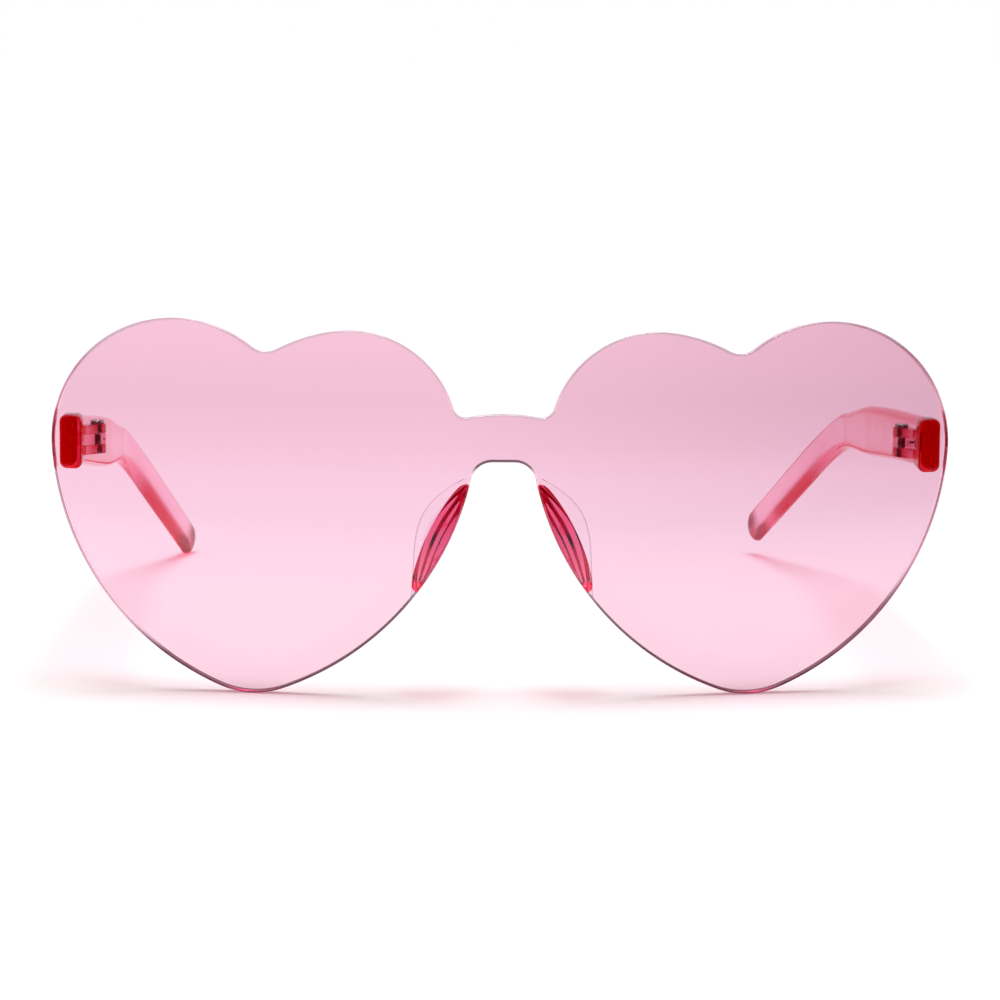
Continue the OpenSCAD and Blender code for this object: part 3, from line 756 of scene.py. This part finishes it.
def nose_pad(left):
    side = "left" if left else "right"
    wall_from, wall_to = nose_dir(PAD_TOP), nose_dir(PAD_BOTTOM)
    beyond = math.degrees(FLANGE_END / NOSE_SIDE_R)
    start, stop = wall_from - beyond, wall_to + beyond
    # Wall: rings across it, from its top to its bottom
    steps = 48
    rings = []
    for i in range(steps + 1):
        t = i / steps
        swell = math.sin(math.pi * t)
        full = PAD_END_SHARE + (1 - PAD_END_SHARE) * max(swell, 0.0) ** PAD_POWER_SHARE
        reach, lean, foot, rim = PAD_REACH * full, PAD_SPLAY * swell, PAD_FOOT * full, PAD_RIM * full
        a = wall_from + (wall_to - wall_from) * t
        inner = nose_point(a, 0.0)
        base = rear_y(inner[0], inner[1]) + FLANGE_THICKNESS / 2
        profile = [(foot, 0.0), (foot * 0.8 + (lean + rim) * 0.2, reach * 0.2),
                   (foot * 0.45 + (lean + rim) * 0.55, reach * 0.5)]
        for k in range(17):
            v = unit(180 * k / 16)
            profile.append((lean + rim / 2 + rim / 2 * v[0], reach - rim / 2 + rim / 2 * v[1]))
        profile += [(lean * 0.55, reach * 0.5), (lean * 0.2, reach * 0.2), (0.0, 0.0)]
        ring = []
        for w, y in profile:
            q = nose_point(a, w)
            ring.append((q[0], base + y, q[1]))
        rings.append(ring)
    wall = loft(rings)
    # Film: its outline, laid on the shield's rear face
    n = 48
    inner_side = [nose_point(start + (stop - start) * i / n, 0.12) for i in range(n + 1)]
    outer_side = [nose_point(start + (stop - start) * i / n,
                             max(0.12, FLANGE_WIDTH * math.sin(math.pi * (i / n) ** FLANGE_SKEW)))
                  for i in range(n + 1)]
    cols = 10
    verts, faces = [], []
    for layer, inset in ((GLUE, 0.0), (FLANGE_THICKNESS, FILM_BEVEL)):
        for i in range(n + 1):
            span = outer_side[i] - inner_side[i]
            keep = max(0.0, 1 - inset / max(np.linalg.norm(span), 1e-3))
            for c in range(cols + 1):
                q = inner_side[i] + span * keep * c / cols
                verts.append((q[0], rear_y(q[0], q[1]) + layer, q[1]))
    per = (n + 1) * (cols + 1)

    def at(layer, i, c):
        return layer * per + i * (cols + 1) + c
    for i in range(n):
        for c in range(cols):
            faces.append((at(0, i, c), at(0, i + 1, c), at(0, i + 1, c + 1), at(0, i, c + 1)))
            faces.append((at(1, i, c), at(1, i, c + 1), at(1, i + 1, c + 1), at(1, i + 1, c)))
        for c in (0, cols):
            faces.append((at(0, i, c), at(1, i, c), at(1, i + 1, c), at(0, i + 1, c)))
    for i in (0, n):
        for c in range(cols):
            faces.append((at(0, i, c), at(0, i, c + 1), at(1, i, c + 1), at(1, i, c)))
    film = make_object("nose_pad_film_" + side, place(verts, left), faces, [FILM, FILM_EDGE_SHADE])
    # The band along the outer side, painted half dark as a line of painted shade, is the last face of each stretch
    for k, polygon in enumerate(film.data.polygons):
        if k < n * (2 * cols + 2) and k % (2 * cols + 2) == 2 * cols + 1:
            polygon.material_index = 1
    bm = bmesh.new()
    bm.from_mesh(film.data)
    bmesh.ops.remove_doubles(bm, verts=bm.verts, dist=1e-6)
    bmesh.ops.dissolve_degenerate(bm, edges=bm.edges, dist=1e-6)
    bmesh.ops.recalc_face_normals(bm, faces=bm.faces)
    bm.to_mesh(film.data)
    bm.free()
    film.data.polygons.foreach_set("use_smooth", [True] * len(film.data.polygons))
    film.data.set_sharp_from_angle(angle=math.radians(40))
    v, f = wall
    v = [(x, y + FLANGE_THICKNESS / 2 + GLUE, z) for x, y, z in v]
    pad = make_object("nose_pad_wall_" + side, place(v, left), f, [PAD_PLASTIC])
    outward(pad)
    pad.data.set_sharp_from_angle(angle=math.radians(50))
    for obj in (film, pad):
        finish_piece(obj, "front", "tinted_plastic", "nose_pad_" + side)


# Screws: a shank and a slotted head with a rounded edge


def hinge_screw(left):
    side = "left" if left else "right"
    sides = 48
    head_low, head_top = STACK_TOP, STACK_TOP + HEAD_HEIGHT
    profile = [(SHANK_R - 0.06, STACK_LOW), (SHANK_R, STACK_LOW + 0.08), (SHANK_R, head_low + 0.005),
               (HEAD_R - 0.05, head_low + 0.005), (HEAD_R, head_low + 0.07)]
    profile += [(HEAD_R * (1 - 0.28 * (1 - math.cos(math.radians(a)))),
                 head_top - 0.3 + 0.3 * math.sin(math.radians(a))) for a in (0, 25, 50, 75, 90)]
    rings = [[(HINGE_X + r * math.cos(2 * math.pi * i / sides), HINGE_Y + r * math.sin(2 * math.pi * i / sides), z)
              for i in range(sides)] for r, z in profile]
    v, f = loft(rings)
    w, d = SLOT_WIDTH / 2, HEAD_R + 1
    slot = [[(HINGE_X + sx * w, HINGE_Y + sy * d, z) for sx, sy in ((-1, -1), (1, -1), (1, 1), (-1, 1))]
            for z in (head_top - SLOT_DEPTH, head_top + 1)]
    cv, cf = loft(slot)
    obj = joined("hinge_screw_turned_" + side, [(place(v, left), f)], [(place(cv, left), cf)], STEEL)
    soften(obj, 0.03, 40.0, 2)
    return finish_piece(obj, "front", "screw_steel", "hinge_screw_" + side)


finish_piece(lens_shield(), "front", "tinted_lens", "lens_shield")
for is_left in (True, False):
    end_piece(is_left)
    temple(is_left)
    nose_pad(is_left)
    hinge_screw(is_left)


# Floor, white surroundings and lamp. For mirrored light the room is dim straight in front of the
# object and near its level, and the floor fades out in front of it.

WORLD_LIGHT, LAMP, LAMP_ANGLE, LAMP_TILT = 0.36, 2.36, 0.52, -2.0
FLOOR_COLOUR, FLOOR_GLOW, FLOOR_REACH_X, FLOOR_REACH_Y = 0.9, 0.06, 20.0, 40.0
ROOM_FROM, ROOM_TO, ROOM_LEVEL, ROOM_HIGH, ROOM_DIM = -0.65, -0.4, 0.25, 0.5, 0.02
FLOOR_FADE_FROM, FLOOR_FADE_TO = -0.26, -0.11


def seen_directly(t):
    """1 for rays that show the white surroundings: from the camera, through plastic or mirrored."""
    path = t.nodes.new("ShaderNodeLightPath")
    through = math_node(t, "MAXIMUM", path.outputs["Is Camera Ray"], path.outputs["Is Transmission Ray"])
    return math_node(t, "MAXIMUM", through, path.outputs["Is Glossy Ray"]), path


def falling(t, value, start, end):
    """1 up to start, then smoothly down to 0 at end."""
    n = node(t, "ShaderNodeMapRange", From_Min=start, From_Max=end, To_Min=1.0, To_Max=0.0)
    n.interpolation_type = "SMOOTHSTEP"
    t.links.new(value, n.inputs["Value"])
    return n.outputs[0]


def white_world():
    """White round the object, with a pale backdrop behind it and a dim room in front for gloss."""
    world = bpy.data.worlds.new("studio")
    bpy.context.scene.world = world
    world.use_nodes = True
    t = world.node_tree
    t.nodes.clear()
    out = t.nodes.new("ShaderNodeOutputWorld")
    direct, path = seen_directly(t)
    split = t.nodes.new("ShaderNodeSeparateXYZ")
    t.links.new(t.nodes.new("ShaderNodeTexCoord").outputs["Generated"], split.inputs[0])
    in_front = falling(t, split.outputs["Y"], ROOM_FROM, ROOM_TO)
    near_level = falling(t, math_node(t, "ABSOLUTE", split.outputs["Z"]), ROOM_LEVEL, ROOM_HIGH)
    room = spread(t, math_node(t, "MULTIPLY", in_front, near_level), 1.0, ROOM_DIM)
    mirrored = math_node(t, "GREATER_THAN", path.outputs["Glossy Depth"], 0.5)
    seen = t.nodes.new("ShaderNodeMix")
    t.links.new(mirrored, seen.inputs[0])
    seen.inputs[2].default_value = 1.0
    t.links.new(room, seen.inputs[3])
    strength = t.nodes.new("ShaderNodeMix")
    t.links.new(direct, strength.inputs[0])
    strength.inputs[2].default_value = WORLD_LIGHT
    t.links.new(seen.outputs[0], strength.inputs[3])
    back = node(t, "ShaderNodeBackground", Color=(1, 1, 1, 1))
    t.links.new(strength.outputs[0], back.inputs["Strength"])
    t.links.new(back.outputs[0], out.inputs["Surface"])


def floor():
    m = bpy.data.materials.new("white_table")
    m.use_nodes = True
    t = m.node_tree
    t.nodes.clear()
    out = t.nodes.new("ShaderNodeOutputMaterial")
    base = node(t, "ShaderNodeBsdfDiffuse")
    glow = node(t, "ShaderNodeEmission", Color=(1, 1, 1, 1))
    add = t.nodes.new("ShaderNodeAddShader")
    t.links.new(base.outputs[0], add.inputs[0])
    t.links.new(glow.outputs[0], add.inputs[1])
    mix = t.nodes.new("ShaderNodeMixShader")
    direct, path = seen_directly(t)
    t.links.new(direct, mix.inputs[0])
    split = t.nodes.new("ShaderNodeSeparateXYZ")
    t.links.new(t.nodes.new("ShaderNodeNewGeometry").outputs["Position"], split.inputs[0])
    mirrored = math_node(t, "GREATER_THAN", path.outputs["Glossy Depth"], 0.5)
    faded = math_node(t, "MULTIPLY", mirrored, falling(t, split.outputs["Y"], FLOOR_FADE_FROM, FLOOR_FADE_TO))
    share = math_node(t, "SUBTRACT", 1.0, faded)
    t.links.new(math_node(t, "MULTIPLY", share, FLOOR_COLOUR), base.inputs["Color"])
    t.links.new(math_node(t, "MULTIPLY", share, FLOOR_GLOW), glow.inputs["Strength"])
    t.links.new(base.outputs[0], mix.inputs[1])
    t.links.new(add.outputs[0], mix.inputs[2])
    t.links.new(mix.outputs[0], out.inputs["Surface"])
    x, y = FLOOR_REACH_X, FLOOR_REACH_Y
    obj = make_object("floor", [(-x, -y, 0), (x, -y, 0), (x, y, 0), (-x, y, 0)],
                      [(0, 1, 2, 3)], [m], rounded=False)


def softbox():
    """A broad overhead light, about 30 degrees across."""
    data = bpy.data.lights.new("overhead", "SUN")
    data.energy = LAMP
    data.angle = LAMP_ANGLE
    obj = bpy.data.objects.new("overhead", data)
    bpy.context.collection.objects.link(obj)
    obj.rotation_euler = (math.radians(LAMP_TILT), 0.0, 0.0)


white_world()
floor()
softbox()

bpy.context.scene.view_settings.view_transform = "Standard"
